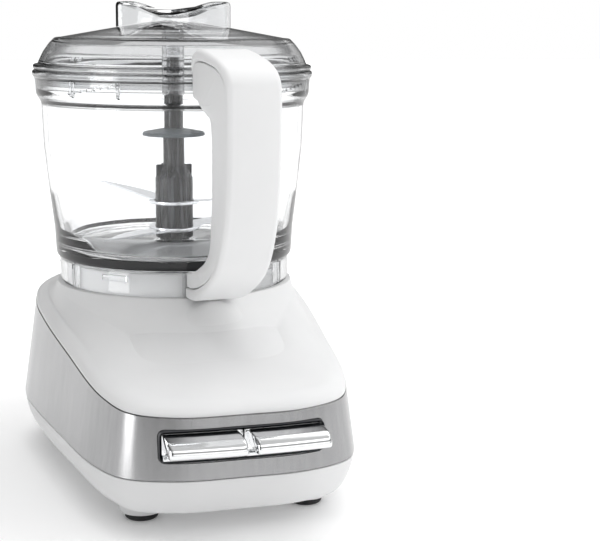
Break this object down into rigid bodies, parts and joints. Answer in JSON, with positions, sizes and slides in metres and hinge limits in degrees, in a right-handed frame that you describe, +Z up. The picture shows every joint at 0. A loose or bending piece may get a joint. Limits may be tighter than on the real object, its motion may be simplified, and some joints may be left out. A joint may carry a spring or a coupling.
{
  "type": "food processor",
  "caption": "Small food processor with a white base, brushed steel band, two chrome paddles, a clear bowl with a front handle, a clear lid and a spinning blade.",
  "frame": {"origin": "On the table, at the middle of the whole object's footprint.", "axes": "+Z up along the blade's axis, -Y towards the control panel and the handle, +X to the right seen from the front."},
  "size_m": [0.1524, 0.2338, 0.228],
  "materials": {
    "white_plastic": "glossy moulded white",
    "brushed_band": "upright brushed grain",
    "chrome_key": "mirror plated",
    "clear_plastic": "clear, slightly smoky moulded plastic",
    "blade_steel": "fine ground",
    "machined_steel": "machined",
    "dark_plastic": "fine satin",
    "black_rubber": "matte",
    "copper": "enamelled winding",
    "brass": "turned",
    "board": "solder mask",
    "nylon": "natural nylon"
  },
  "bodies": {
    "base": {"housing": "white_plastic", "steel_band": "brushed_band", "top_cover": "white_plastic", "foot_fl": "black_rubber", "foot_fr": "black_rubber", "foot_bl": "black_rubber", "foot_br": "black_rubber", "housing_screw_fl": "machined_steel", "housing_screw_fr": "machined_steel", "housing_screw_bl": "machined_steel", "housing_screw_br": "machined_steel", "cord_gland": "black_rubber", "button_bezel": "dark_plastic", "chop_spring": "machined_steel", "chop_switch": "dark_plastic", "grind_spring": "machined_steel", "grind_switch": "dark_plastic", "circuit_board": "board", "relay": "dark_plastic", "capacitor": "copper", "motor_can": "machined_steel", "stator": "dark_plastic", "end_bell": "dark_plastic", "motor_bush_lower": "brass", "motor_bush_upper": "brass", "brush_left": "dark_plastic", "brush_right": "dark_plastic", "gear_plate": "machined_steel", "plate_screw_1": "machined_steel", "plate_screw_2": "machined_steel", "plate_screw_3": "machined_steel", "plate_screw_4": "machined_steel", "spindle_bush_lower": "brass", "spindle_bush_upper": "brass", "spindle_seal": "black_rubber", "safety_switch": "dark_plastic"},
    "rotor": {"motor_shaft": "machined_steel", "armature": "copper", "commutator": "copper", "pinion": "brass"},
    "drive": {"spindle": "machined_steel", "spindle_gear": "nylon"},
    "chop": {"chop_paddle": "chrome_key"},
    "grind": {"grind_paddle": "chrome_key"},
    "bowl": {"bowl": "clear_plastic", "handle_shell": "white_plastic", "handle_liner": "white_plastic", "rod_spring": "machined_steel"},
    "rod": {"interlock_rod": "nylon"},
    "lid": {"lid": "clear_plastic", "lid_knob": "clear_plastic"},
    "blade": {"blade_hub": "dark_plastic", "blade_lower": "blade_steel", "blade_upper": "blade_steel"}
  },
  "joints": [
    {"name": "spindle_spin", "type": "hinge", "parent": "base", "child": "drive", "pos_m": [0, 0.04127, 0.05], "axis": [0, 0, 1], "continuous": true},
    {"name": "rotor_spin", "type": "hinge", "parent": "base", "child": "rotor", "pos_m": [0, 0.00727, 0.05], "axis": [0, 0, 1], "continuous": true},
    {"name": "chop_press", "type": "slide", "parent": "base", "child": "chop", "axis": [0, 1, 0], "range_m": [0, 0.0025], "stiffness_N_per_m": 300, "deforming": ["chop_spring"]},
    {"name": "grind_press", "type": "slide", "parent": "base", "child": "grind", "axis": [0, 1, 0], "range_m": [0, 0.0025], "stiffness_N_per_m": 300, "deforming": ["grind_spring"]},
    {"name": "bowl_lift", "type": "slide", "parent": "base", "child": "bowl", "axis": [0, 0, 1], "range_m": [0, 0.09]},
    {"name": "lid_lift", "type": "slide", "parent": "bowl", "child": "lid", "axis": [0, 0, 1], "range_m": [0, 0.05]},
    {"name": "rod_slide", "type": "slide", "parent": "bowl", "child": "rod", "axis": [0, 0, 1], "range_m": [0, 0.0025], "deforming": ["rod_spring"]},
    {"name": "blade_spin", "type": "hinge", "parent": "bowl", "child": "blade", "pos_m": [0, 0.04127, 0.12], "axis": [0, 0, 1], "continuous": true}
  ],
  "couplings": [
    {"joint": "rotor_spin", "follows": "spindle_spin", "ratio": -4},
    {"joint": "blade_spin", "follows": "spindle_spin", "ratio": 1},
    {"joint": "rod_slide", "follows": "lid_lift", "ratio": 0.05}
  ]
}
